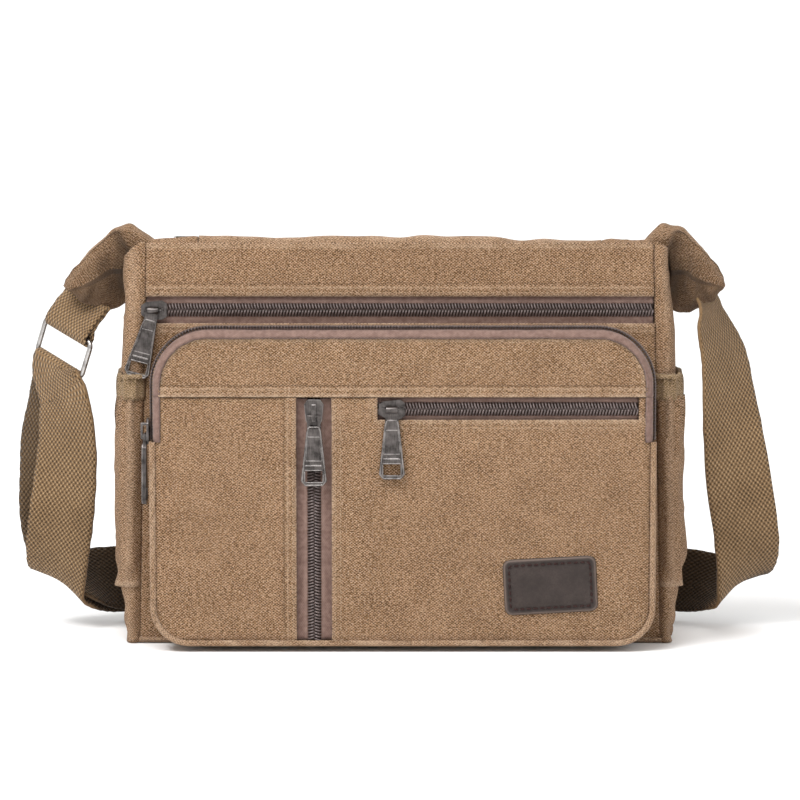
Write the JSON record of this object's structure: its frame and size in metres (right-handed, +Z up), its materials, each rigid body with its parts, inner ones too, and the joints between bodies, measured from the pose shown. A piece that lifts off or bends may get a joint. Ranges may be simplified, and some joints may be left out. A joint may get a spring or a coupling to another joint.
{
  "type": "messenger bag",
  "caption": "Soft canvas crossbody bag with a zipped front pouch, front and top zips, open side pockets and an adjustable webbing shoulder strap.",
  "frame": {"origin": "centre of the flat base, on the surface the bag stands on", "axes": "+Z up, -Y towards the front with the pouch, +X towards the wearer's left side seen from the front as right"},
  "size_m": [0.4892, 0.146, 0.2605],
  "materials": {
    "canvas": "washed cotton canvas, khaki brown",
    "zip_tape": "woven polyester tape, mauve brown",
    "zip_coil": "dark nylon coil, satin",
    "gunmetal": "gunmetal plated zinc, worn at the edges",
    "webbing": "coarse woven webbing, khaki",
    "elastic": "gathered canvas hem over elastic",
    "lining_cloth": "plain woven polyester lining, dark brown",
    "leather": "embossed grey brown leather, stitched edge",
    "ring_steel": "plated steel wire, slightly worn"
  },
  "bodies": {
    "root": {"front_panel": "canvas", "front_top_band": "canvas", "back_panel": "canvas", "right_gusset": "canvas", "left_gusset": "canvas", "bottom_panel": "canvas", "lining": "lining_cloth", "right_side_pocket": "canvas", "left_side_pocket": "canvas", "pocket_elastics": "elastic", "right_ear": "canvas", "left_ear": "canvas", "top_end_panels": "canvas", "top_zip_end_tapes": "zip_tape", "top_zip_end_teeth": "zip_coil", "front_zip_tape": "zip_tape", "front_zip_teeth": "zip_coil", "right_pouch_zip_tape": "zip_tape", "right_pouch_zip_teeth": "zip_coil", "left_pouch_zip_tape": "zip_tape", "left_pouch_zip_teeth": "zip_coil", "back_zip_tape": "zip_tape", "back_zip_teeth": "zip_coil", "pouch_gusset": "canvas", "arch_zip_tape": "zip_tape", "arch_zip_teeth": "zip_coil", "pouch_left_panel": "canvas", "pouch_right_panel": "canvas", "label_patch": "leather"},
    "top_flap_front": {"top_flap_front": "canvas", "top_zip_front_tape": "zip_tape", "top_zip_front_teeth": "zip_coil"},
    "top_flap_back": {"top_flap_back": "canvas", "top_zip_back_tape": "zip_tape", "top_zip_back_teeth": "zip_coil"},
    "pouch_door": {"pouch_top_band": "canvas", "arch_zip_door_tape": "zip_tape", "arch_zip_door_teeth": "zip_coil"},
    "strap": {"strap_left": "webbing", "strap_left_return": "webbing", "strap_right": "webbing", "strap_rear": "webbing", "strap_ring": "ring_steel", "ring_tab": "webbing"},
    "adjuster": {"strap_adjuster": "ring_steel", "strap_end_tab": "webbing"},
    "front_zip_slider": {"front_zip_slider": "gunmetal"},
    "front_zip_pull": {"front_zip_pull": "gunmetal"},
    "right_pouch_zip_slider": {"right_pouch_zip_slider": "gunmetal"},
    "right_pouch_zip_pull": {"right_pouch_zip_pull": "gunmetal"},
    "left_pouch_zip_slider": {"left_pouch_zip_slider": "gunmetal"},
    "left_pouch_zip_pull": {"left_pouch_zip_pull": "gunmetal"},
    "back_zip_slider": {"back_zip_slider": "gunmetal"},
    "back_zip_pull": {"back_zip_pull": "gunmetal"},
    "arch_zip_slider": {"arch_zip_slider": "gunmetal"},
    "arch_zip_pull": {"arch_zip_pull": "gunmetal"},
    "top_zip_slider": {"top_zip_slider": "gunmetal"},
    "top_zip_pull": {"top_zip_pull": "gunmetal"}
  },
  "joints": [
    {"name": "top_zip_slide", "type": "slide", "parent": "root", "child": "top_zip_slider", "axis": [1, 0, 0], "range_m": [0, 0.276]},
    {"name": "top_zip_pull_lift", "type": "hinge", "parent": "top_zip_slider", "child": "top_zip_pull", "pos_m": [-0.138, -0.012, 0.2531], "axis": [1, 0, 0], "range_deg": [0, 150]},
    {"name": "top_front_open", "type": "hinge", "parent": "root", "child": "top_flap_front", "pos_m": [0, -0.0375, 0.2483], "axis": [1, 0, 0], "range_deg": [0, 80]},
    {"name": "top_back_open", "type": "hinge", "parent": "root", "child": "top_flap_back", "pos_m": [0, 0.01391, 0.2483], "axis": [-1, 0, 0], "range_deg": [0, 80]},
    {"name": "front_zip_slide", "type": "slide", "parent": "root", "child": "front_zip_slider", "axis": [1, 0, 0], "range_m": [0, 0.0025]},
    {"name": "front_zip_pull_lift", "type": "hinge", "parent": "front_zip_slider", "child": "front_zip_pull", "pos_m": [-0.1539, -0.0448, 0.2105], "axis": [-1, 0, 0], "range_deg": [0, 140]},
    {"name": "right_pouch_zip_slide", "type": "slide", "parent": "root", "child": "right_pouch_zip_slider", "axis": [1, 0, 0], "range_m": [0, 0.142]},
    {"name": "right_pouch_zip_pull_lift", "type": "hinge", "parent": "right_pouch_zip_slider", "child": "right_pouch_zip_pull", "pos_m": [-0.005, -0.0778, 0.1515], "axis": [-1, 0, 0], "range_deg": [0, 80]},
    {"name": "left_pouch_zip_slide", "type": "slide", "parent": "root", "child": "left_pouch_zip_slider", "axis": [0, 0, -1], "range_m": [0, 0.094]},
    {"name": "left_pouch_zip_pull_lift", "type": "hinge", "parent": "left_pouch_zip_slider", "child": "left_pouch_zip_pull", "pos_m": [-0.053, -0.0767, 0.1473], "axis": [-1, 0, 0], "range_deg": [0, 80]},
    {"name": "arch_zip_slide", "type": "slide", "parent": "root", "child": "arch_zip_slider", "axis": [0, 0, 1], "range_m": [0, 0.027]},
    {"name": "arch_zip_pull_lift", "type": "hinge", "parent": "arch_zip_slider", "child": "arch_zip_pull", "pos_m": [-0.1582, -0.062, 0.1348], "axis": [0, 1, 0], "range_deg": [0, 100]},
    {"name": "back_zip_slide", "type": "slide", "parent": "root", "child": "back_zip_slider", "axis": [1, 0, 0], "range_m": [0, 0.2]},
    {"name": "back_zip_pull_lift", "type": "hinge", "parent": "back_zip_slider", "child": "back_zip_pull", "pos_m": [-0.1, 0.02698, 0.19675], "axis": [1, 0, 0], "range_deg": [0, 140]},
    {"name": "pouch_door_open", "type": "hinge", "parent": "root", "child": "pouch_door", "pos_m": [0, -0.073, 0.159], "axis": [1, 0, 0], "range_deg": [0, 85]},
    {"name": "strap_swing", "type": "hinge", "parent": "root", "child": "strap", "pos_m": [0, -0.012, 0.216], "axis": [1, 0, 0], "range_deg": [0, 35]},
    {"name": "adjuster_slide", "type": "slide", "parent": "strap", "child": "adjuster", "axis": [1, 0, 0], "range_m": [-0.02, 0.02]}
  ],
  "couplings": [
    {"joint": "top_back_open", "follows": "top_front_open", "ratio": 1}
  ]
}
